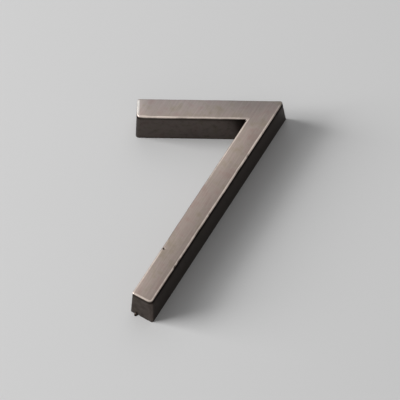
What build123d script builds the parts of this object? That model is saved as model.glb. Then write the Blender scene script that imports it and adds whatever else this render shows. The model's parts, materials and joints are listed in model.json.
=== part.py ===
# House number seven, a hollow die casting in one piece, lying on its back rim with the face up.
# Sizes are in millimetres. +X is the reading direction, +Y points to the top of the numeral and
# +Z points out of the face. The back rim lies in the XY plane.
from build123d import *
from math import cos, radians, sin, tan
import os

# The outline at the back rim, where the casting is widest
height = 50.0  # from the foot's lowest corner to the top of the bar
width = 32.9  # from the left end of the bar to the sharp point of the tip
stroke = 5.5  # width of the bar, and of the diagonal
slope = 61.0  # angle of the diagonal to the bar, in degrees
depth = 8.2  # from the back rim to the face
draft_angle = 3.0  # lean of every wall, narrowing towards the face, in degrees

# Rounding of the outside
back_corner_radius = 0.4  # upright corners, at the back rim
tip_back_radius = 0.2  # the tip's upright corner, at the back rim
face_corner_radius = 0.5  # upright corners, at the face, where they are worn rounder
bar_corner_radius = 0.75  # the bar's lower left upright corner, which is rounder all the way up
crook_radius = 0.3  # inner corner between the bar and the diagonal
face_edge_radius = 0.18  # polished edge all round the face

# The cored-out back
wall = 1.3
face_thickness = 1.6
core_corner_radius = 0.5
core_floor_radius = 0.3

# Two lands in the core, each with a cored hole that is tapped M3 for a fixing stud
land_length = 5.6
tapping_diameter = 2.5
tapped_depth = 5.5
mouth_diameter = 3.2  # of the countersink that clears the first thread
mouth_angle = 90.0  # of that countersink, in degrees
bar_hole_inset = 8.0  # from the bar's left end to its hole
foot_hole_inset = 9.0  # from the foot's end to its hole, along the diagonal

# The broken-off gate that is left on the foot's end, at the rim
gate_width = 0.6
gate_reach = 0.45
gate_height = 0.5
gate_inset = 1.5  # from the foot's left corner to the middle of the gate
gate_taper = 8.0  # narrowing towards its broken end, in degrees

# Corners of the outline, from the directions along and across the diagonal
along = Vector(cos(radians(slope)), sin(radians(slope)))
across = Vector(sin(radians(slope)), -cos(radians(slope)))
tip = Vector(width, height)
foot_right = tip - along * (height / sin(radians(slope)))
foot_left = foot_right - across * stroke
crook = foot_left + along * ((height - stroke - foot_left.Y) / sin(radians(slope)))
bar_top = Vector(0, height)
bar_bottom = Vector(0, height - stroke)

# Places of the fixing holes on the centre lines of the strokes
bar_hole = Vector(bar_hole_inset, height - stroke / 2)
foot_hole = foot_right - across * (stroke / 2) + along * foot_hole_inset

with BuildSketch() as outline:
    with BuildLine():
        Polyline(bar_top, bar_bottom, crook, foot_left, foot_right, tip, close=True)
    make_face()

# The core leaves an even wall, because it narrows with the same draft as the outside
with BuildPart() as core:
    with BuildSketch():
        add(outline.sketch)
        offset(amount=-wall, kind=Kind.INTERSECTION)
        with Locations(bar_hole):
            Rectangle(land_length, stroke, mode=Mode.SUBTRACT)
        with Locations(foot_hole):
            Rectangle(land_length, stroke, rotation=slope, mode=Mode.SUBTRACT)
    extrude(amount=depth - face_thickness, taper=draft_angle)
    uprights = core.edges().filter_by(lambda edge: abs(edge.tangent_at(0.5).Z) > 0.5)
    fillet(uprights, radius=core_corner_radius)
    floors = core.faces().filter_by(Plane.XY).group_by(Axis.Z)[-1]
    fillet(floors.edges(), radius=core_floor_radius)

with BuildPart() as numeral_seven:
    with BuildSketch() as back_rim:
        add(outline.sketch)
        fillet(back_rim.vertices().sort_by_distance(crook)[0], radius=crook_radius)
        fillet(back_rim.vertices().sort_by_distance(tip)[0], radius=tip_back_radius)
        fillet(back_rim.vertices().sort_by_distance(bar_bottom)[0], radius=bar_corner_radius)
        for corner in (bar_top, foot_left, foot_right):
            fillet(back_rim.vertices().sort_by_distance(corner)[0], radius=back_corner_radius)
    with BuildSketch(Plane.XY.offset(depth)) as face_rim:
        add(outline.sketch)
        offset(amount=-depth * tan(radians(draft_angle)), kind=Kind.INTERSECTION)
        fillet(face_rim.vertices().sort_by_distance(crook)[0], radius=crook_radius)
        fillet(face_rim.vertices().sort_by_distance(bar_bottom)[0], radius=bar_corner_radius)
        for corner in (tip, bar_top, foot_left, foot_right):
            fillet(face_rim.vertices().sort_by_distance(corner)[0], radius=face_corner_radius)
    loft(ruled=True)
    face = numeral_seven.faces().sort_by(Axis.Z)[-1]
    fillet(face.edges(), radius=face_edge_radius)

    add(core.part, mode=Mode.SUBTRACT)
    with Locations(Location(bar_hole, (180, 0, 0)), Location(foot_hole, (180, 0, 0))):
        CounterSinkHole(
            radius=tapping_diameter / 2,
            counter_sink_radius=mouth_diameter / 2,
            counter_sink_angle=mouth_angle,
            depth=tapped_depth,
        )

    gate_root = foot_left + across * gate_inset + along * (wall / 2)
    with BuildSketch(Plane(origin=gate_root, x_dir=across, z_dir=-along)):
        Rectangle(gate_width, gate_height, align=(Align.CENTER, Align.MIN))
    extrude(amount=wall / 2 + gate_reach, taper=gate_taper)

# The origin is under the middle of the finished casting
middle = numeral_seven.part.bounding_box().center()
numeral_seven.part.position = Vector(-middle.X, -middle.Y)

numeral_seven.part.label = "numeral_seven"
os.makedirs("parts", exist_ok=True)
export_step(numeral_seven.part, "parts/numeral_seven.step")
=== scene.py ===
"""House number seven in antique bronze: the finish and fine form of one cast numeral.

The numeral is a hollow die casting that lies on its back rim with the face up. This script
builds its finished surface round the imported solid: drafted walls, edges that were rubbed by
hand, the cored-out back, the cut threads, the gate's stub and the marks of wear, and then
the finish, the floor, the lamps and the camera.
"""

import json
import math

import bmesh
import bpy
from mathutils import Matrix, Vector, noise


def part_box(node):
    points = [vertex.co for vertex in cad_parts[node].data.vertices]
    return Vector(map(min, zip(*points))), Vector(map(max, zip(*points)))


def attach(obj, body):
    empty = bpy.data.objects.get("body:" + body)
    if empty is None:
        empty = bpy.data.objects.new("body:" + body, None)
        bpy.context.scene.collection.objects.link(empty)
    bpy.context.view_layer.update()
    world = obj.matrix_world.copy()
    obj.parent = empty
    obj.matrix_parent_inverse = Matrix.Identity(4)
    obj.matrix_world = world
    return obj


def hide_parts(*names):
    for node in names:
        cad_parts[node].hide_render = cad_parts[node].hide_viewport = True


bl_info = {
    "name": "House Number Seven",
    "version": (1, 0, 0),
    "blender": (4, 5, 0),
    "location": "View3D > Sidebar > House Number",
    "description": "A cast house number seven in antique bronze, with its stage",
    "category": "Object",
}

MM = 0.001
NOISE_LOW, NOISE_HIGH = 0.3, 0.7  # a noise texture keeps mostly between these

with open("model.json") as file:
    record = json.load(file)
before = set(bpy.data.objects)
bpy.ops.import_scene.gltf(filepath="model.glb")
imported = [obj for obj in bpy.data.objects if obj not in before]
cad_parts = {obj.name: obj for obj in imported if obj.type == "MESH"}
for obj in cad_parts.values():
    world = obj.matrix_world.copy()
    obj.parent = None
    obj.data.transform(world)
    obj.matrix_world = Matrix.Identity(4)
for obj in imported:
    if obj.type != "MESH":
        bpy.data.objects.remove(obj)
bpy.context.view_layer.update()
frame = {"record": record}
NODE = "numeral_seven"
CAST_LOW, CAST_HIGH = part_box(NODE)
FIXINGS = [m for m in frame["record"]["mounts"] if m["kind"] == "threaded_hole"]


def size_property(name, description, millimetres):
    """A length that a user can change, with its default in millimetres."""
    return bpy.props.FloatProperty(
        name=name, description=description, default=millimetres * MM,
        unit="LENGTH", precision=5,
    )


def angle_property(name, description, degrees):
    """An angle that a user can change, with its default in degrees."""
    return bpy.props.FloatProperty(
        name=name, description=description, default=math.radians(degrees),
        unit="ROTATION",
    )


def linear(colour):
    """Linear red, green, blue and alpha of an sRGB hex colour."""
    parts = [int(colour[i:i + 2], 16) / 255 for i in (0, 2, 4)]
    lit = [c / 12.92 if c <= 0.04045 else ((c + 0.055) / 1.055) ** 2.4 for c in parts]
    return (*lit, 1.0)


def colour_property(name, description, colour):
    """A colour that a user can change, with its default as sRGB hex digits."""
    return bpy.props.FloatVectorProperty(
        name=name, description=description, default=linear(colour), size=4,
        subtype="COLOR", min=0.0, max=1.0,
    )


def factor_property(name, description, value):
    """A share from 0 to 1 that a user can change."""
    return bpy.props.FloatProperty(
        name=name, description=description, default=value, min=0.0, max=1.0, subtype="FACTOR",
    )


def power_property(name, description, watts):
    """A lamp's power that a user can change, with its default in watts."""
    return bpy.props.FloatProperty(
        name=name, description=description, default=watts, min=0.0, unit="POWER",
    )


class CastingSizes(bpy.types.PropertyGroup):
    """Sizes of the casting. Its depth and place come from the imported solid."""

    height: size_property("Height", "Foot's lowest corner to the top of the bar", 50.0)
    width: size_property("Width", "Bar's left end to the sharp point of the tip", 32.9)
    stroke: size_property("Stroke", "Width of the bar and of the diagonal at the back", 5.5)
    slope: angle_property("Slope", "Angle of the diagonal to the bar", 61.0)
    draft: angle_property("Draft", "Lean of every wall towards the face", 3.0)
    back_corner: size_property("Back corner", "Upright corners' radius at the rim", 0.4)
    tip_corner: size_property("Tip corner", "The tip's radius at the rim", 0.21)
    face_corner: size_property("Face corner", "Upright corners' radius at the face", 0.5)
    soft_corner: size_property("Soft corner", "Bar's lower left and foot's right radius", 0.75)
    crook_corner: size_property("Crook corner", "Radius between bar and diagonal", 0.3)
    wall: size_property("Wall", "Thickness of the walls round the core", 1.3)
    face_thickness: size_property("Face thickness", "Metal over the core's floor", 1.6)
    core_corner: size_property("Core corner", "Upright corners' radius in the core", 0.5)
    core_floor: size_property("Core floor", "Radius along the core's floor", 0.3)
    land: size_property("Land", "Length of solid metal round each fixing hole", 5.6)
    thread_pitch: size_property("Thread pitch", "Of the M3 thread in the holes", 0.5)
    thread_height: size_property("Thread height", "From crest to root", 0.25)
    mouth: size_property("Mouth", "Diameter of the holes' countersinks", 3.2)


class FinishColours(bpy.types.PropertyGroup):
    """Colours of the antique bronze finish, from the face to the darkened walls."""

    face: colour_property("Relieved face", "Plating brushed back to satin bronze", "918986")
    edge: colour_property("Rubbed edge", "Edges worn to bare pale metal", "CFC2B8")
    patina: colour_property("Patina", "Chemically darkened walls", "5C5654")
    # The deep patina is also the colour of the painted shade under the edges, over the walls, in
    # the crook and on the gate's stub
    deep_patina_and_shade: colour_property("Deep patina", "Where the darkening lies thickest", "1A120D")
    rosy: colour_property("Rosy tint", "Over places where more copper shows", "F9F0EF")
    olive: colour_property("Olive tint", "Over places that the bath left greenish", "F1F0E5")
    warm: colour_property("Warm tint", "Where the lacquer has yellowed", "FFF9F2")
    bare: colour_property("Bare zinc", "The casting's own metal, as in the threads", "C4C3C0")


class StageSettings(bpy.types.PropertyGroup):
    """The floor, the light and the camera."""

    floor: colour_property("Floor", "Matt paper that the numeral lies on", "D4D4D4")
    backdrop: colour_property("Backdrop", "The pale room that metal reflects", "CBCBCC")
    key_power: power_property("Key", "The lamp on the left", 14.2)
    key_top_power: power_property("Key top", "The dimmer lamp above it", 4.7)
    back_power: power_property("Back", "The soft lamp behind the bar", 2.5)
    fill: factor_property("Fill", "Even light from all round", 0.2)
    azimuth: angle_property("Azimuth", "The camera's turn round the numeral", 2.34)
    elevation: angle_property("Elevation", "The camera's height above the floor", 61.94)
    roll: angle_property("Roll", "The camera's turn about its own line of sight", -1.12)
    distance: size_property("Distance", "From the camera to its target", 538.0)


# Corners of the numeral's outline, counter-clockwise from the bar's upper left one. Its sides
# run from each corner to the next: the bar's end, the bar's underside, the diagonal's left,
# the foot's end, the diagonal's right and the bar's upper side.
BAR_TOP, BAR_BOTTOM, CROOK, FOOT_LEFT, FOOT_RIGHT, TIP = range(6)

# Radius to which each side's face edge was rubbed, in the order of the sides
EDGE_ROUNDS = [radius * MM for radius in (0.48, 0.19, 0.18, 0.3, 0.26, 0.16)]
# How far onto the face each edge was rubbed pale, and how thoroughly at its start and its end
RUBBED_WIDTHS = [width * MM for width in (0.18, 0.32, 0.28, 0.3, 0.23, 0.05)]
RUBBED_FROM = [1.0, 1.0, 0.85, 0.85, 0.7, 0.15]
RUBBED_TO = [1.0, 0.6, 0.9, 0.78, 0.92, 0.15]
# How much of the rubbing reached down to the wall, at each side's start and its end
DOWN_FROM = [0.6, 0.6, 0.6, 0.28, 0.3, 0.6]
DOWN_TO = [0.6, 0.6, 0.6, 0.28, 0.65, 0.6]
# The dark line right under each edge, partly patina and partly painted shade under the edge's
# highlight, how far down it fades, and the darkening over each whole wall, partly patina and
# partly painted shade that differs from wall to wall as the light falls
UNDER_EDGE = [0.9, 0.6, 0.8, 0.6, 1.0, 0.8]
UNDER_EDGE_REACH = [reach * MM for reach in (1.0, 1.0, 1.0, 0.8, 1.4, 1.0)]
OVER_WALL = [0.1, 0.13, 0.1, 0.0, 0.2, 0.1]
# How much bare zinc shows where an edge was rubbed right through the plating
WORN_THROUGH = [0.8, 0.0, 0.0, 0.0, 0.0, 0.0]

POINT_SPACING = 0.13 * MM  # between points along the outline, fine enough for the nicks
CORE_POINT_SPACING = 0.52 * MM  # the core is plain, so its points lie further apart
CORNER_STEPS = 8
ROUND_STEPS = 7  # rows of faces over each rubbed edge

# Heights of the wall's rows of points, as shares of its height: close together at the rim
# for the gate's stub, and at the top for the worn edge and the dark line under it
WALL_ROWS = [0, 0.015, 0.03, 0.045, 0.06, 0.08, 0.12, 0.25, 0.45, 0.65, 0.8,
             0.88, 0.92, 0.95, 0.97, 0.985, 0.993, 1]
CORE_ROWS = [0, 0.05, 0.3, 0.6, 0.9, 1]
# Rows of points on the face, inwards from where the rubbed edge ends, to its middle
FACE_ROWS = [row * MM for row in (0.05, 0.11, 0.18, 0.27, 0.4, 0.6, 0.9, 1.25, 1.6, 1.92)]
CROWN = 0.05 * MM  # brushing by hand leaves the middle of the face this much higher

# Corners that were worn rounder at the face, as multiples of the soft corners' radius
WORN_CORNERS = {BAR_BOTTOM: 1.35, FOOT_RIGHT: 1.25}

# Nicks in the diagonal's right edge: (distance from the foot's corner, half width, depth)
EDGE_NICKS = [
    (40.8 * MM, 0.55 * MM, 0.2 * MM),
    (36.9 * MM, 1.7 * MM, 0.18 * MM),
    (24.7 * MM, 0.7 * MM, 0.16 * MM),
    (19.9 * MM, 1.9 * MM, 0.11 * MM),
    (11.8 * MM, 0.9 * MM, 0.16 * MM),
    (10.2 * MM, 0.6 * MM, 0.27 * MM),
]
NICK_ONTO_FACE, NICK_DOWN_WALL = 0.3 * MM, 0.45 * MM  # how far every nick reaches
NICK_SLOPE = 0.7  # how far down a knock drives the edge, as a share of how far in
PIT_ALONG, PIT_ACROSS = 12.72 * MM, -4.66 * MM  # from the foot's right corner
PIT_RADIUS, PIT_DEPTH = 0.3 * MM, 0.22 * MM
EDGE_WANDER = 0.035 * MM  # how far hand polishing lets an edge stray
WANDER_LENGTH = 2.5 * MM  # length of one such wave
WANDER_DOWN = 1.2 * MM  # how far down the walls it fades
OTHER_NOISE = Vector((9, 9, 9))  # far enough off for a wave of its own

# What is written on each point about how its finish was worked, and where painted shade darkens
# it, from 0 to 1
FINISH_LAYERS = ("rubbed", "relieved", "gathered", "toned", "yellowed", "bared")

# The gate's broken stub on the foot's end, and the chip beside it, from the foot's left corner
GATE_INSET, GATE_RADIUS, GATE_REACH = 1.42 * MM, 0.38 * MM, 0.54 * MM
CHIP_INSET, CHIP_RADIUS, CHIP_DEPTH = 2.0 * MM, 0.4 * MM, 0.13 * MM

# Where the belt rubbed the edges less. A pair is the two lengths between which the effect fades.
# It doesn't reach into the crook, and it slid off the tip. Round the bar's soft corner the pale
# edge is darkened, as painted shade that dims its highlight.
CROOK_FADE, CROOK_SHARE = (0.25 * MM, 0.6 * MM), 0.6
TIP_FADE, TIP_SHARE = (2 * MM, 8.5 * MM), 0.45
SOFT_CORNER_SHADE_RADIUS = 2.4 * MM
# It missed the middle of the diagonal's left edge, between these lengths down from the crook,
# but not the face more than a little way across
MISSED_START, MISSED_END = (9 * MM, 24 * MM), (31 * MM, 36.5 * MM)
MISSED_ACROSS, MISSED_SHARE = (1.5 * MM, 2.5 * MM), 0.8
# Its edge rubbed the face further in from the bar's underside, beside the soft corner
BESIDE_RADIUS, BESIDE_WIDTH, BESIDE_FADE = 3.8 * MM, 0.8 * MM, (1.0 * MM, 1.8 * MM)
# A hand presses unevenly: the middle and the swing of its force, and the length of a swing
PRESSED, PRESSED_SWING, PRESSED_LENGTH = 0.97, 0.2, 4 * MM

RUBBED_DOWN = 0.1 * MM  # how far below the rounded edge the rubbing reached
ROUND_RUBBED = (0.6, 0.9)  # shares of the way up the rounded edge between which it grew to full
# Relief at which the brushed face starts to show and shows in full, and rubbing at which the
# pale plating does and, where it is rubbed through, the zinc
FACE_SHOWS, PLATING_SHOWS = (0.2, 0.6), (0.35, 0.95)

# The dark line under the edge, partly patina and partly painted shade: how far under the edge it
# is at its full strength, and from what share of its reach it fades. Painted shade darkens the
# corner under the bar, and the walls are darker along the rim.
DARK_LINE_START, DARK_LINE_FADES_FROM = 0.08 * MM, 0.4
CROOK_SHADE, RIM_DARKENING, CROOK_AND_RIM_SHARE = (0.3 * MM, 3 * MM), (0.1 * MM, 0.5 * MM), 0.5
GATE_SHADE_RADIUS = 1.2 * GATE_RADIUS  # painted shade: the whole stub is darkened

# How light the face is: lighter at the bar's end, below the crook and at the
# foot, and darker on the bar, more so on its far side, on the diagonal's outer side and towards
# the tip. The pairs are lengths from the crook's height upwards, and inwards from edge, tip and
# end.
FACE_TONE = 0.7
ONTO_BAR, BAR_TONE = (-3 * MM, 0), -0.1
BAR_FAR, BAR_FAR_TONE = (1 * MM, 5 * MM), -0.13
OUTER_FADE, TO_TIP_FADE, OUTER_TONE = (0.6 * MM, 4.9 * MM), (8 * MM, 21 * MM), -0.54
OUTER_LOST_ON_BAR = 0.5  # share of the outer side's darkening that stops at the bar
TO_TIP_NEAR, TO_TIP_FAR = 0.65, 0.4  # share of it towards the tip, and more on the far side
END_FADE, END_TONE = (0.9 * MM, 3.2 * MM), 0.5
# Two light patches on the diagonal: from the crook down, and from the foot up, to their middles
CROOK_PATCH, CROOK_PATCH_RADIUS = 9 * MM, 9 * MM
FOOT_PATCH, FOOT_PATCH_RADIUS = 3 * MM, 7 * MM
PATCH_TONE = 0.2
BAR_CLEARER, BAR_FAR_CLEARER = 0.3, 0.7  # how much less the lacquer yellowed on the bar

# How much bare zinc shows in the core, at the rim and from this height up
CORE_BARE, CORE_BARE_HEIGHT = (0.2, 0.7), 3 * MM
SHARP_ANGLE = math.radians(35)  # edges that turn by more than this aren't smoothed over

# Lamps: name, place and side in metres. The key on the left, dimmer towards its top, throws the
# shadow rightwards, and the one behind the bar is what the face reflects towards the camera.
LAMPS = (
    ("key", (-1.088, 0.0, 0.507), 0.63),
    ("key_top", (-0.93, 0.0, 0.78), 0.63),
    ("back", (0.0, 0.688, 0.983), 1.2),
)
FLOOR_SIDE = 3.0  # in metres
LENS, SENSOR_WIDTH = 225.0, 36.0  # in millimetres, as a camera's data count them
CLIP_RANGE = (0.01, 20.0)  # in metres
CAMERA_TARGET = Vector((-1.967, 4.309, 0.0)) * MM


def meet(point_a, way_a, point_b, way_b):
    """Where two lines meet in the plane."""
    cross = way_a.x * way_b.y - way_a.y * way_b.x
    gap = point_b - point_a
    return point_a + way_a * ((gap.x * way_b.y - gap.y * way_b.x) / cross)


def inward(way):
    """The direction into a counter-clockwise outline, across a side."""
    return Vector((-way.y, way.x))


def inset(corners, distances):
    """The corners of an outline whose every side is moved inwards by its own distance."""
    ways = [(b - a).normalized() for a, b in zip(corners, corners[1:] + corners[:1])]
    starts = [a + inward(way) * d for a, way, d in zip(corners, ways, distances)]
    return [meet(starts[i - 1], ways[i - 1], starts[i], ways[i]) for i in range(len(corners))]


def bump(distance, radius, flatness=2):
    """A smooth hump: 1 at its middle and 0 from the radius outwards."""
    share = min(1.0, distance / radius)
    return (1 - share ** flatness) ** 2


def ramp(value, low, high, least=0.0):
    """How far a value has come from low to high, from the least share to 1."""
    return least + (1 - least) * max(0.0, min(1.0, (value - low) / (high - low)))


class Outline:
    """A closed outline with rounded corners. All rings taken from it match point for point."""

    def __init__(self, corners, spacing):
        self.corners = corners
        sides = zip(corners, corners[1:] + corners[:1])
        self.counts = [max(2, round((b - a).length / spacing)) for a, b in sides]

    def ring(self, insets, radii, heights):
        """Points of one ring. At a corner the height passes from one side's to the next's."""
        corners = inset(self.corners, insets)
        total = len(corners)
        arcs = []
        for i, corner in enumerate(corners):
            before = (corner - corners[i - 1]).normalized()
            after = (corners[(i + 1) % total] - corner).normalized()
            turn = -before.angle_signed(after, 0.0)  # which counts clockwise
            reach = radii[i] * math.tan(abs(turn) / 2)
            centre = corner - before * reach + inward(before) * math.copysign(radii[i], turn)
            arc = []
            for step in range(CORNER_STEPS + 1):
                share = step / CORNER_STEPS
                way = Matrix.Rotation(turn * share, 2) @ before
                spot = centre - inward(way) * math.copysign(radii[i], turn)
                height = heights[i - 1] * (1 - share) + heights[i] * share
                arc.append(Vector((spot.x, spot.y, height)))
            arcs.append(arc)
        points = []
        for i, arc in enumerate(arcs):
            points += arc
            start, end = arc[-1], arcs[(i + 1) % total][0]
            count = self.counts[i]
            points += [start.lerp(end, step / count) for step in range(1, count)]
        return points

    def corner_point(self, corner):
        """Number in each ring of the point in the middle of a corner's arc."""
        return sum(self.counts[:corner]) + corner * CORNER_STEPS + CORNER_STEPS // 2

    def spread(self, starts, ends=None):
        """One value for each point of a ring, from those at each side's start and end."""
        ends = ends or starts
        spread = []
        for i, count in enumerate(self.counts):
            for step in range(CORNER_STEPS + 1):
                share = step / CORNER_STEPS
                spread.append(ends[i - 1] * (1 - share) + starts[i] * share)
            spread += [starts[i] + (ends[i] - starts[i]) * step / count
                       for step in range(1, count)]
        return spread


def rounded_block(outline, depth, draft, low_radii, high_radii, edge_rounds, rows):
    """Rings of points up a drafted block whose upper edge is rounded, from rim to top."""
    rings = []
    sides = range(len(outline.corners))
    # Heights at which the walls meet the rounded edge
    tangent = [depth - radius * (1 - math.sin(draft)) for radius in edge_rounds]
    for row in rows:
        heights = [row * tangent[i] for i in sides]
        insets = [h * math.tan(draft) for h in heights]
        radii = [low + (high - low) * row for low, high in zip(low_radii, high_radii)]
        rings.append(outline.ring(insets, radii, heights))
    for step in range(1, ROUND_STEPS + 1):
        lean = draft + (math.pi / 2 - draft) * step / ROUND_STEPS
        heights, insets = [], []
        for i in sides:
            radius = edge_rounds[i]
            centre_inset = (depth - radius) * math.tan(draft) + radius / math.cos(draft)
            heights.append(depth - radius + radius * math.sin(lean))
            insets.append(centre_inset - radius * math.cos(lean))
        # A corner gets tighter as the sides beside it come in, but never quite sharp
        used = [insets[i] - tangent[i] * math.tan(draft) for i in sides]
        radii = [max(r - (used[i - 1] + used[i]) / 2, r / 4) for i, r in enumerate(high_radii)]
        rings.append(outline.ring(insets, radii, heights))
    return rings


def add_ring(shell, points):
    """Adds a ring's points to the mesh."""
    return [shell.verts.new(p) for p in points]


def add_band(shell, lower, upper, outwards=True):
    """Faces between two rings of the same count."""
    total = len(lower)
    for i in range(total):
        quad = (lower[i], lower[(i + 1) % total], upper[(i + 1) % total], upper[i])
        shell.faces.new(quad if outwards else quad[::-1])


def fill(shell, *rings):
    """Faces over a flat region inside the first ring and outside the others."""
    edges = []
    for ring in rings:
        for pair in zip(ring, ring[1:] + ring[:1]):
            edges.append(shell.edges.get(pair) or shell.edges.new(pair))
    bmesh.ops.triangle_fill(shell, edges=edges, use_beauty=True)


def along_and_across(sizes):
    """Directions up the diagonal and to its right."""
    return (
        Vector((math.cos(sizes.slope), math.sin(sizes.slope))),
        Vector((math.sin(sizes.slope), -math.cos(sizes.slope))),
    )


def numeral_corners(sizes):
    """Corners of the seven at the rim, with its bar's upper left corner in the CAD box's."""
    along, across = along_and_across(sizes)
    bar_top = Vector((CAST_LOW.x, CAST_HIGH.y))
    bar_bottom = bar_top - Vector((0, sizes.stroke))
    tip = bar_top + Vector((sizes.width, 0))
    foot_right = tip - along * (sizes.height / math.sin(sizes.slope))
    foot_left = foot_right - across * sizes.stroke
    crook = meet(bar_bottom, Vector((1, 0)), foot_left, along)
    return [bar_top, bar_bottom, crook, foot_left, foot_right, tip]


def core_pockets(sizes, corners):
    """Corners of the core's three pockets, between the walls and the two lands."""
    inner = inset(corners, [sizes.wall] * len(corners))

    def land_ends(hole, way, *sides):
        """Where both ends of a land meet the core's sides, along the stroke."""
        ends = [hole + way * reach for reach in (-sizes.land / 2, sizes.land / 2)]
        return [[meet(inner[side], way, end, inward(way)) for side in sides] for end in ends]

    along, _ = along_and_across(sizes)
    bar_hole, foot_hole = [Vector(m["pos_m"][:2]) for m in FIXINGS]
    west_cut, east_cut = land_ends(bar_hole, Vector((1, 0)), BAR_TOP, BAR_BOTTOM)
    low_cut, high_cut = land_ends(foot_hole, along, FOOT_LEFT, FOOT_RIGHT)
    return [
        [inner[BAR_TOP], inner[BAR_BOTTOM], west_cut[1], west_cut[0]],
        [east_cut[0], east_cut[1], inner[CROOK], high_cut[0], high_cut[1], inner[TIP]],
        [low_cut[0], inner[FOOT_LEFT], inner[FOOT_RIGHT], low_cut[1]],
    ]


def threaded_hole(shell, mount, sizes):
    """A blind hole with a countersunk mouth and a cut thread. Returns the ring just round it."""
    turn_steps, rows_per_turn = 36, 10
    centre = Vector(mount["pos_m"])
    pitch, mouth = sizes.thread_pitch, sizes.mouth / 2
    crest = mount["dims"]["r_mm"] * MM
    depth = mount["dims"]["length_mm"] * MM + (mouth - crest)
    full_thread = depth - 2 * pitch  # the tap's lead leaves the end plain
    rows = round(depth / pitch * rows_per_turn)
    flank = 1 / 2.9  # width of a groove's flank, in pitches
    root = flank / 4  # half the width of its root

    def around_axis(radius, step, z):
        """A point at a radius from the hole's axis, at one of the turn's steps."""
        angle = 2 * math.pi * step / turn_steps
        return Vector((
            centre.x + radius * math.cos(angle), centre.y + radius * math.sin(angle), z,
        ))

    lip = mouth + 0.05 * MM  # where the cut metal stops and the finish begins
    around = add_ring(shell, [around_axis(lip, step, 0) for step in range(turn_steps)])
    below = around
    for row in range(rows + 1):
        z = depth * row / rows
        runout = 1 - ramp(z, full_thread, full_thread + pitch)
        points = []
        for step in range(turn_steps):
            phase = (z / pitch - step / turn_steps) % 1.0
            groove = 1 - ramp(abs(phase - 0.5), root, root + flank)
            radius = max(crest + sizes.thread_height * groove * runout, mouth - z)
            points.append(around_axis(radius, step, z))
        ring = add_ring(shell, points)
        add_band(shell, below, ring, outwards=False)
        below = ring
    fill(shell, below)
    return around


def wear(points, corners, sizes, top):
    """Moves the outside's points by the marks of polishing, knocks and the broken gate."""
    along, across = along_and_across(sizes)
    foot_right = corners[FOOT_RIGHT]
    gate, chip = [
        (corners[FOOT_LEFT] + across * at).to_3d() for at in (GATE_INSET, CHIP_INSET)
    ]
    nick_way = across.to_3d() + Vector((0, 0, NICK_SLOPE))
    for vert in points:
        place = vert.co.copy()
        flat = place.to_2d() - foot_right
        run, side = flat.dot(along), flat.dot(across)
        wander = EDGE_WANDER * max(0.0, 1 - (top - place.z) / WANDER_DOWN)
        wave = place / WANDER_LENGTH
        vert.co += Vector((noise.noise(wave), noise.noise(wave + OTHER_NOISE), 0)) * wander
        for where, half_width, depth in EDGE_NICKS:
            away = Vector((
                (run - where) / half_width,
                (side + top * math.tan(sizes.draft)) / NICK_ONTO_FACE,
                (place.z - top) / NICK_DOWN_WALL,
            ))
            vert.co -= nick_way * (bump(away.length, 1.0) * depth)
        if top - place.z < CROWN:  # only on the face
            pit_away = math.hypot(run - PIT_ALONG, side - PIT_ACROSS)
            vert.co.z -= PIT_DEPTH * bump(pit_away, PIT_RADIUS)
        stub = GATE_REACH * bump((place - gate).length, GATE_RADIUS, flatness=4)
        stub -= CHIP_DEPTH * bump((place - chip).length, CHIP_RADIUS)
        vert.co -= along.to_3d() * stub
        vert.co.z = max(vert.co.z, 0.0)


def belt_share(place, from_crook, corners, along, across):
    """How much of an edge's full rubbing a place got, for the parts that the belt missed."""
    run = (corners[CROOK] - place).dot(along)
    side = (place - corners[CROOK]).dot(across)
    missed = ramp(run, *MISSED_START) * (1 - ramp(run, *MISSED_END))
    missed *= 1 - ramp(side, *MISSED_ACROSS)
    return (
        (1 - MISSED_SHARE * missed)
        * ramp(from_crook, *CROOK_FADE, least=CROOK_SHARE)
        * ramp((corners[TIP] - place).length, *TIP_FADE, least=TIP_SHARE)
    )


def face_look(place, corners, along, across):
    """How light the face is at a place, and how much its lacquer has yellowed."""
    crook, tip = corners[CROOK], corners[TIP]
    up_bar = place.y - crook.y
    on_bar = ramp(up_bar, *ONTO_BAR)
    far = on_bar * ramp(up_bar, *BAR_FAR)
    end = on_bar * (1 - ramp(place.x - corners[BAR_TOP].x, *END_FADE))
    outer = 1 - ramp((tip - place).dot(across), *OUTER_FADE)
    to_tip = on_bar * (1 - ramp(tip.x - place.x, *TO_TIP_FADE))
    below_crook = bump((crook - along * CROOK_PATCH - place).length, CROOK_PATCH_RADIUS)
    foot = bump((corners[FOOT_LEFT] + along * FOOT_PATCH - place).length, FOOT_PATCH_RADIUS)
    tone = (
        FACE_TONE + BAR_TONE * on_bar + BAR_FAR_TONE * far + END_TONE * end
        + PATCH_TONE * max(below_crook, foot)
        + OUTER_TONE * max(
            outer * (1 - OUTER_LOST_ON_BAR * on_bar), to_tip * (TO_TIP_NEAR + TO_TIP_FAR * far),
        )
    )
    return tone, 1 - BAR_CLEARER * on_bar - BAR_FAR_CLEARER * far


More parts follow.
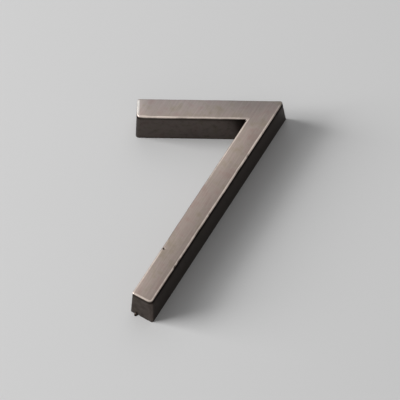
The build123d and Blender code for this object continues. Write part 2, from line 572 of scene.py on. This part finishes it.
def paint_finish(layers, rings, sizes, outline):
    """Writes on each outside point how its finish was worked: how far it was rubbed, how much
    the face was relieved, where patina and painted shade darken it, how light the face is, how
    much the lacquer yellowed, and where the zinc shows."""
    rubbed, relieved, gathered, toned, yellowed, bared = layers
    along, across = along_and_across(sizes)
    corners = outline.corners
    soft_corner = corners[BAR_BOTTOM]
    gate = (corners[FOOT_LEFT] + across * GATE_INSET).to_3d()
    pit = corners[FOOT_RIGHT] + along * PIT_ALONG + across * PIT_ACROSS
    widths = outline.spread(RUBBED_WIDTHS)
    shares, downs = outline.spread(RUBBED_FROM, RUBBED_TO), outline.spread(DOWN_FROM, DOWN_TO)
    under_edge, reaches = outline.spread(UNDER_EDGE), outline.spread(UNDER_EDGE_REACH)
    over_wall, worn_through = outline.spread(OVER_WALL), outline.spread(WORN_THROUGH)
    last_wall = len(WALL_ROWS) - 1
    last_round = last_wall + ROUND_STEPS
    # The point where the wall meets the worn edge in the middle of the crook's corner
    edge_crook = rings[last_wall][outline.corner_point(CROOK)].co
    for number, ring in enumerate(rings):
        for index, vert in enumerate(ring):
            place = vert.co.to_2d()
            edge_start, edge_end = rings[last_wall][index].co, rings[last_round][index].co
            pressed = PRESSED + PRESSED_SWING * noise.noise(vert.co / PRESSED_LENGTH)
            from_crook = (edge_start - edge_crook).length
            share = shares[index] * pressed
            share *= belt_share(place, from_crook, corners, along, across)
            down = downs[index]
            if number <= last_round:
                # Painted shade: the pale edge is darkened round the bar's soft corner, on the
                # round and wall, to dim its highlight
                share *= 1 - bump((soft_corner - place).length, SOFT_CORNER_SHADE_RADIUS)
            if number <= last_wall:
                below = edge_start.z - vert.co.z
                vert[rubbed] = share * down * (1 - ramp(below, 0, RUBBED_DOWN))
                reach = reaches[index]
                # Partly patina, partly painted shade: a dark line right under the edge's
                # highlight
                dark_line = under_edge[index] * min(
                    ramp(below, 0, DARK_LINE_START), 1 - ramp(below, DARK_LINE_FADES_FROM * reach, reach),
                )
                vert[gathered] = max(
                    # The dark line, and each wall's darkening: patina, and painted shade that
                    # differs from wall to wall as the light falls on it
                    dark_line, over_wall[index],
                    # Painted shade in the corner under the bar
                    CROOK_AND_RIM_SHARE * (1 - ramp((corners[CROOK] - place).length, *CROOK_SHADE)),
                    # The walls are darker along the rim
                    CROOK_AND_RIM_SHARE * (1 - ramp(vert.co.z, *RIM_DARKENING)),
                    # Painted shade on the gate's stub
                    bump((vert.co - gate).length, GATE_SHADE_RADIUS, flatness=8),
                )
            elif number <= last_round:
                # The further down the rubbing reached, the lower the face's finish starts
                up = (number - last_wall) / ROUND_STEPS
                low, high = [share_up - down for share_up in ROUND_RUBBED]
                vert[rubbed] = share * ramp(up, low, high, least=down)
                vert[relieved] = ramp(up, low, 1)
            else:
                beside = bump((soft_corner - place).length, BESIDE_RADIUS)
                beside *= ramp(edge_end.x - soft_corner.x, *BESIDE_FADE)
                width = widths[index] + BESIDE_WIDTH * beside
                inwards = FACE_ROWS[number - last_round - 1]
                # Nothing reached into the pit, so it stayed as dark as the walls
                in_pit = bump((place - pit).length, PIT_RADIUS, flatness=6)
                vert[rubbed] = share * (1 - ramp(inwards, width / 2, width)) * (1 - in_pit)
                vert[relieved], vert[gathered] = 1 - in_pit, in_pit
            vert[bared] = worn_through[index] * ramp(vert[rubbed], *PLATING_SHOWS)
            vert[toned], vert[yellowed] = face_look(place, corners, along, across)


def add_outside(shell, layers, sizes, corners):
    """The walls, the rubbed edges and the face, with their wear. Returns the ring at the rim."""
    depth = CAST_HIGH.z - CAST_LOW.z
    outline = Outline(corners, POINT_SPACING)
    low_radii = [sizes.back_corner] * len(corners)
    high_radii = [sizes.face_corner] * len(corners)
    low_radii[TIP] = sizes.tip_corner
    low_radii[BAR_BOTTOM] = sizes.soft_corner
    low_radii[CROOK] = high_radii[CROOK] = sizes.crook_corner
    for corner, times in WORN_CORNERS.items():
        high_radii[corner] = times * sizes.soft_corner
    edge_top = depth - CROWN
    rows = rounded_block(
        outline, edge_top, sizes.draft, low_radii, high_radii, EDGE_ROUNDS, WALL_ROWS,
    )
    # The face goes on inwards from the rubbed edge, and rises to its middle
    edge_insets = [
        (edge_top - radius) * math.tan(sizes.draft) + radius / math.cos(sizes.draft)
        for radius in EDGE_ROUNDS
    ]
    middle = sizes.stroke / 2 - min(edge_insets)
    for row in FACE_ROWS:
        to_middle = 1 - row / middle
        radii = [radius / 2 * to_middle for radius in high_radii]
        height = depth - CROWN * to_middle ** 2
        insets = [edge + row for edge in edge_insets]
        rows.append(outline.ring(insets, radii, [height] * len(corners)))
    rings = [add_ring(shell, points) for points in rows]
    for lower, upper in zip(rings, rings[1:]):
        add_band(shell, lower, upper)
    paint_finish(layers, rings, sizes, outline)
    wear([vert for ring in rings for vert in ring], corners, sizes, edge_top)
    fill(shell, rings[-1])
    return rings[0]


def add_core(shell, bared, sizes, corners):
    """The core's pockets and the tapped holes between them. Returns their rings at the rim."""
    depth = CAST_HIGH.z - CAST_LOW.z
    mouths = []
    for pocket in core_pockets(sizes, corners):
        radii = [sizes.core_corner] * len(pocket)
        rings = [add_ring(shell, points) for points in rounded_block(
            Outline(pocket, CORE_POINT_SPACING), depth - sizes.face_thickness, sizes.draft,
            radii, radii, [sizes.core_floor] * len(pocket), CORE_ROWS,
        )]
        # Little plating reached into the core, so the dull zinc shows through, more inwards
        at_rim, inside = CORE_BARE
        for vert in [vert for ring in rings[1:] for vert in ring]:
            vert[bared] = at_rim + (inside - at_rim) * ramp(vert.co.z, 0, CORE_BARE_HEIGHT)
        for lower, upper in zip(rings, rings[1:]):
            add_band(shell, lower, upper, outwards=False)
        fill(shell, rings[-1])
        mouths.append(rings[0])
    for mount in FIXINGS:
        before = len(shell.verts)
        mouths.append(threaded_hole(shell, mount, sizes))
        # The tap cut through the finish, but not in the ring round the hole
        shell.verts.ensure_lookup_table()
        for vert in shell.verts[before + len(mouths[-1]):]:
            vert[bared] = 1.0
    return mouths


def build_casting(sizes):
    """The whole casting as one closed mesh, with the working of its finish on its points."""
    shell = bmesh.new()
    layers = [shell.verts.layers.float.new(name) for name in FINISH_LAYERS]
    corners = numeral_corners(sizes)
    rim = add_outside(shell, layers, sizes, corners)
    mouths = add_core(shell, layers[-1], sizes, corners)
    fill(shell, rim, *mouths)
    bmesh.ops.recalc_face_normals(shell, faces=shell.faces)
    mesh = bpy.data.meshes.new("cast_seven")
    shell.to_mesh(mesh)
    shell.free()
    return mesh


def add_node(tree, kind, inputs=None, **settings):
    """Adds one node, sets it up, and links or sets its inputs."""
    made = tree.nodes.new(kind)
    for name, value in settings.items():
        setattr(made, name, value)
    for socket, value in (inputs or {}).items():
        if isinstance(value, bpy.types.NodeSocket):
            tree.links.new(value, made.inputs[socket])
        else:
            made.inputs[socket].default_value = value
    return made


def new_material(name):
    """An empty node material, and its tree and output."""
    material = bpy.data.materials.new(name)
    material.use_nodes = True
    tree = material.node_tree
    tree.nodes.clear()
    return material, tree, tree.nodes.new("ShaderNodeOutputMaterial")


def antique_bronze(colours, slope):
    """Zinc die casting, plated with bronze, darkened in a bath, brushed on the face and
    lacquered. The eye sees warm satin grain on the face, near-black brown walls, and a thin
    pale line where the edges are rubbed through to the bare plating."""
    material, tree, output = new_material("antique_bronze")
    place = add_node(tree, "ShaderNodeTexCoord").outputs["Object"]
    painted = {
        name: add_node(tree, "ShaderNodeAttribute", attribute_name=name).outputs["Fac"]
        for name in FINISH_LAYERS
    }

    # The belt's grit cut grooves along the diagonal, on the bar too. Real ones are about
    # 0.05 mm wide; they are drawn 0.2 mm wide, because finer ones would not show.
    groove_width, groove_length = 0.2 * MM, 7 * MM
    turned = add_node(tree, "ShaderNodeVectorRotate",
                      {"Vector": place, "Angle": -slope}, rotation_type="Z_AXIS")
    stretched = add_node(tree, "ShaderNodeMapping", {
        "Vector": turned.outputs["Vector"],
        "Scale": (1 / groove_length, 1 / groove_width, 1 / groove_length),
    })
    grain = add_node(tree, "ShaderNodeTexNoise", {
        "Vector": stretched.outputs["Vector"], "Scale": 1.0, "Detail": 3.0, "Roughness": 0.65,
    }).outputs["Fac"]

    # Uneven plating and lacquer, in clouds a few millimetres across
    cloud_size = 2.4 * MM
    clouds = add_node(tree, "ShaderNodeTexNoise", {
        "Vector": place, "Scale": 1 / cloud_size, "Detail": 3.0, "Roughness": 0.6,
    }).outputs["Fac"]
    rosy_share = add_node(tree, "ShaderNodeMapRange", {
        "Value": clouds, "From Min": 0.48, "From Max": 0.7,
    }).outputs["Result"]
    olive_share = add_node(tree, "ShaderNodeMapRange", {
        "Value": clouds, "From Min": 0.52, "From Max": 0.3,
    }).outputs["Result"]
    tint = add_node(tree, "ShaderNodeMix", {
        "Factor": rosy_share, "A": (1, 1, 1, 1), "B": colours.rosy,
    }, data_type="RGBA").outputs["Result"]
    tint = add_node(tree, "ShaderNodeMix", {
        "Factor": olive_share, "A": tint, "B": colours.olive,
    }, data_type="RGBA").outputs["Result"]
    warmth = add_node(tree, "ShaderNodeMix", {
        "Factor": painted["yellowed"], "A": (1, 1, 1, 1), "B": colours.warm,
    }, data_type="RGBA").outputs["Result"]
    tint = add_node(tree, "ShaderNodeVectorMath", {0: tint, 1: warmth},
                    operation="MULTIPLY").outputs["Vector"]

    # How light the face is at each place, and the belt's grooves, lighten and darken it
    darkest_face, lightest_face = 0.74, 1.34
    groove_swing = 0.1
    face_lightness = add_node(tree, "ShaderNodeMapRange", {
        "Value": painted["toned"], "To Min": darkest_face, "To Max": lightest_face,
    }).outputs["Result"]
    groove_tone = add_node(tree, "ShaderNodeMapRange", {
        "Value": grain, "From Min": NOISE_LOW, "From Max": NOISE_HIGH,
        "To Min": 1 - groove_swing, "To Max": 1 + groove_swing,
    }).outputs["Result"]
    face_tone = add_node(tree, "ShaderNodeMath", {0: face_lightness, 1: groove_tone},
                         operation="MULTIPLY").outputs["Value"]
    face = add_node(tree, "ShaderNodeVectorMath", {0: tuple(colours.face)[:3],
                    "Scale": face_tone}, operation="SCALE").outputs["Vector"]

    # The bath's darkening is blotchy, in patches about a millimetre across. The painted layer
    # adds patina and painted shade under the edges, over the walls, in the crook and on the
    # gate's stub, and the walls are darker along the rim
    blotch_size, darkest_blotch = 1.1 * MM, 0.45
    blotches = add_node(tree, "ShaderNodeTexNoise", {
        "Vector": place, "Scale": 1 / blotch_size, "Detail": 4.0, "Roughness": 0.6,
    }).outputs["Fac"]
    blotch_share = add_node(tree, "ShaderNodeMapRange", {
        "Value": blotches, "From Min": 0.4, "From Max": 0.75, "To Max": darkest_blotch,
    }).outputs["Result"]
    dark_share = add_node(tree, "ShaderNodeMath", {
        0: blotch_share, 1: painted["gathered"]}, operation="MAXIMUM").outputs["Value"]
    walls = add_node(tree, "ShaderNodeMix", {
        "Factor": dark_share, "A": colours.patina, "B": colours.deep_patina_and_shade,
    }, data_type="RGBA").outputs["Result"]

    # Face, walls and rubbed edge run into each other with a ragged border
    raggedness = 0.12
    ragged = add_node(tree, "ShaderNodeMapRange", {
        "Value": blotches, "From Min": NOISE_LOW, "From Max": NOISE_HIGH,
        "To Min": -raggedness, "To Max": raggedness,
    }).outputs["Result"]
    relieved = add_node(tree, "ShaderNodeMath", {0: painted["relieved"], 1: ragged},
                        operation="ADD").outputs["Value"]
    relieved = add_node(tree, "ShaderNodeMapRange", {
        "Value": relieved, "From Min": FACE_SHOWS[0], "From Max": FACE_SHOWS[1],
    }).outputs["Result"]
    rubbed = add_node(tree, "ShaderNodeMath", {0: painted["rubbed"], 1: ragged},
                      operation="ADD").outputs["Value"]
    rubbed = add_node(tree, "ShaderNodeMapRange", {
        "Value": rubbed, "From Min": PLATING_SHOWS[0], "From Max": PLATING_SHOWS[1],
    }).outputs["Result"]
    colour = add_node(tree, "ShaderNodeMix", {"Factor": relieved, "A": walls, "B": face},
                      data_type="RGBA").outputs["Result"]
    colour = add_node(tree, "ShaderNodeVectorMath", {0: colour, 1: tint},
                      operation="MULTIPLY").outputs["Vector"]
    colour = add_node(tree, "ShaderNodeMix", {
        "Factor": rubbed, "A": colour, "B": colours.edge,
    }, data_type="RGBA").outputs["Result"]
    colour = add_node(tree, "ShaderNodeMix", {
        "Factor": painted["bared"], "A": colour, "B": colours.bare,
    }, data_type="RGBA").outputs["Result"]

    # Satin on the brushed face, glossier on the lacquered walls, smooth where rubbed
    wall_roughness, face_roughness, edge_roughness = 0.36, 0.44, 0.42
    roughness = add_node(tree, "ShaderNodeMix", {
        "Factor": relieved, "A": wall_roughness, "B": face_roughness,
    }).outputs["Result"]
    roughness = add_node(tree, "ShaderNodeMix", {
        "Factor": rubbed, "A": roughness, "B": edge_roughness,
    }).outputs["Result"]

    # Where the darkening and the painted shade lie thick, the metal has less sheen seen flat
    # along the wall
    plated_sheen, dark_sheen = 0.7, 0.4
    sheen = add_node(tree, "ShaderNodeMix", {
        "Factor": dark_share, "A": plated_sheen, "B": dark_sheen,
    }).outputs["Result"]

    # The belt's grooves on the face, and the faint orange peel of plating on the walls
    groove_depth = 0.012 * MM
    relief = add_node(tree, "ShaderNodeMix", {
        "Factor": relieved, "A": blotches, "B": grain,
    }).outputs["Result"]
    bumped = add_node(tree, "ShaderNodeBump", {
        "Height": relief, "Strength": 0.5, "Distance": groove_depth,
    }).outputs["Normal"]
    bronze = add_node(tree, "ShaderNodeBsdfPrincipled", {
        "Base Color": colour, "Metallic": 1.0, "Roughness": roughness, "Normal": bumped,
        "Specular Tint": sheen,
    })
    tree.links.new(bronze.outputs["BSDF"], output.inputs["Surface"])
    return material


def matt_paper(colours):
    """Seamless studio paper, matt and uncoated: an even pale grey that keeps soft shadows."""
    material, tree, output = new_material("matt_paper")
    paper = add_node(tree, "ShaderNodeBsdfPrincipled", {
        "Base Color": colours.floor, "Roughness": 0.9, "Specular IOR Level": 0.2,
    })
    tree.links.new(paper.outputs["BSDF"], output.inputs["Surface"])
    return material


def lay_floor(scene, stage):
    """A square of seamless paper under the numeral."""
    half = FLOOR_SIDE / 2
    mesh = bpy.data.meshes.new("floor")
    mesh.from_pydata(
        [(-half, -half, 0), (half, -half, 0), (half, half, 0), (-half, half, 0)],
        [], [(0, 1, 2, 3)],
    )
    mesh.materials.append(matt_paper(stage))
    floor = bpy.data.objects.new("floor", mesh)
    scene.collection.objects.link(floor)


def hang_lamp(scene, name, place, side, power):
    """A soft square lamp, like a window, that faces the numeral."""
    data = bpy.data.lights.new(name, "AREA")
    data.shape = "SQUARE"
    data.size = side
    data.energy = power
    lamp = bpy.data.objects.new(name, data)
    lamp.location = place
    lamp.rotation_euler = (-Vector(place)).to_track_quat("-Z", "Y").to_euler()
    scene.collection.objects.link(lamp)


def surround(scene, stage):
    """The world: an even fill on matt surfaces, and a pale room that shows and is reflected."""
    world = bpy.data.worlds.new("studio")
    world.use_nodes = True
    tree = world.node_tree
    tree.nodes.clear()
    rays = add_node(tree, "ShaderNodeLightPath")
    seen = add_node(tree, "ShaderNodeMath", {
        0: rays.outputs["Is Camera Ray"], 1: rays.outputs["Is Glossy Ray"],
    }, operation="MAXIMUM")
    seen = add_node(tree, "ShaderNodeMath", {
        0: seen.outputs["Value"], 1: rays.outputs["Is Transmission Ray"],
    }, operation="MAXIMUM")
    glow = add_node(tree, "ShaderNodeBackground", {
        "Color": (1, 1, 1, 1), "Strength": stage.fill,
    })
    backdrop = add_node(tree, "ShaderNodeBackground", {"Color": stage.backdrop})
    mixed = add_node(tree, "ShaderNodeMixShader", {
        "Fac": seen.outputs["Value"], 1: glow.outputs["Background"],
        2: backdrop.outputs["Background"],
    })
    out = add_node(tree, "ShaderNodeOutputWorld")
    tree.links.new(mixed.outputs["Shader"], out.inputs["Surface"])
    scene.world = world


def place_camera(scene, stage):
    """The camera, turned round its target and rolled about its own line of sight."""
    data = bpy.data.cameras.new("camera")
    data.lens, data.sensor_width = LENS, SENSOR_WIDTH
    data.clip_start, data.clip_end = CLIP_RANGE
    turn, rise = stage.azimuth, stage.elevation
    back = Vector((
        math.sin(turn) * math.cos(rise), -math.cos(turn) * math.cos(rise), math.sin(rise),
    ))
    right = Vector((math.cos(turn), math.sin(turn), 0.0))
    tilt = Matrix.Rotation(stage.roll, 3, back)
    columns = [tilt @ right, tilt @ back.cross(right), back]
    camera = bpy.data.objects.new("camera", data)
    camera.matrix_world = (
        Matrix.Translation(CAMERA_TARGET + back * stage.distance)
        @ Matrix(columns).transposed().to_4x4()
    )
    scene.collection.objects.link(camera)
    scene.camera = camera


class HOUSENUMBER_OT_casting(bpy.types.Operator):
    """Build the cast numeral with its wear and its antique bronze finish"""

    bl_idname = "housenumber.casting"
    bl_label = "Cast seven"

    def execute(self, context):
        sizes = context.scene.casting_sizes
        casting = bpy.data.objects.new("cast_seven", build_casting(sizes))
        context.scene.collection.objects.link(casting)
        casting.data.shade_smooth()
        casting.data.set_sharp_from_angle(angle=SHARP_ANGLE)
        casting.data.materials.append(
            antique_bronze(context.scene.finish_colours, sizes.slope)
        )
        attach(casting, "root")
        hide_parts(NODE)
        return {"FINISHED"}


class HOUSENUMBER_OT_stage(bpy.types.Operator):
    """Lay the pale floor, light it softly from the left and set up the camera"""

    bl_idname = "housenumber.stage"
    bl_label = "Stage"

    def execute(self, context):
        scene = context.scene
        stage = scene.stage_settings
        lay_floor(scene, stage)
        for name, place, side in LAMPS:
            hang_lamp(scene, name + "_lamp", place, side, getattr(stage, name + "_power"))
        surround(scene, stage)
        scene.view_settings.view_transform = "Standard"
        place_camera(scene, stage)
        return {"FINISHED"}


class HOUSENUMBER_PT_panel(bpy.types.Panel):
    """Builds the numeral and its stage, with their sizes and colours"""

    bl_label = "House Number"
    bl_idname = "HOUSENUMBER_PT_panel"
    bl_space_type = "VIEW_3D"
    bl_region_type = "UI"
    bl_category = "House Number"

    def draw(self, context):
        scene = context.scene
        for operator, groups in (
            (HOUSENUMBER_OT_casting, (scene.casting_sizes, scene.finish_colours)),
            (HOUSENUMBER_OT_stage, (scene.stage_settings,)),
        ):
            box = self.layout.box()
            box.operator(operator.bl_idname)
            for group in groups:
                for name in group.__annotations__:
                    box.prop(group, name)


CLASSES = (
    CastingSizes, FinishColours, StageSettings,
    HOUSENUMBER_OT_casting, HOUSENUMBER_OT_stage, HOUSENUMBER_PT_panel,
)


def register():
    for item in CLASSES:
        bpy.utils.register_class(item)
    bpy.types.Scene.casting_sizes = bpy.props.PointerProperty(type=CastingSizes)
    bpy.types.Scene.finish_colours = bpy.props.PointerProperty(type=FinishColours)
    bpy.types.Scene.stage_settings = bpy.props.PointerProperty(type=StageSettings)


def unregister():
    del bpy.types.Scene.stage_settings
    del bpy.types.Scene.finish_colours
    del bpy.types.Scene.casting_sizes
    for item in reversed(CLASSES):
        bpy.utils.unregister_class(item)


def main():
    register()
    bpy.ops.housenumber.casting()
    bpy.ops.housenumber.stage()


if __name__ == "__main__":
    main()
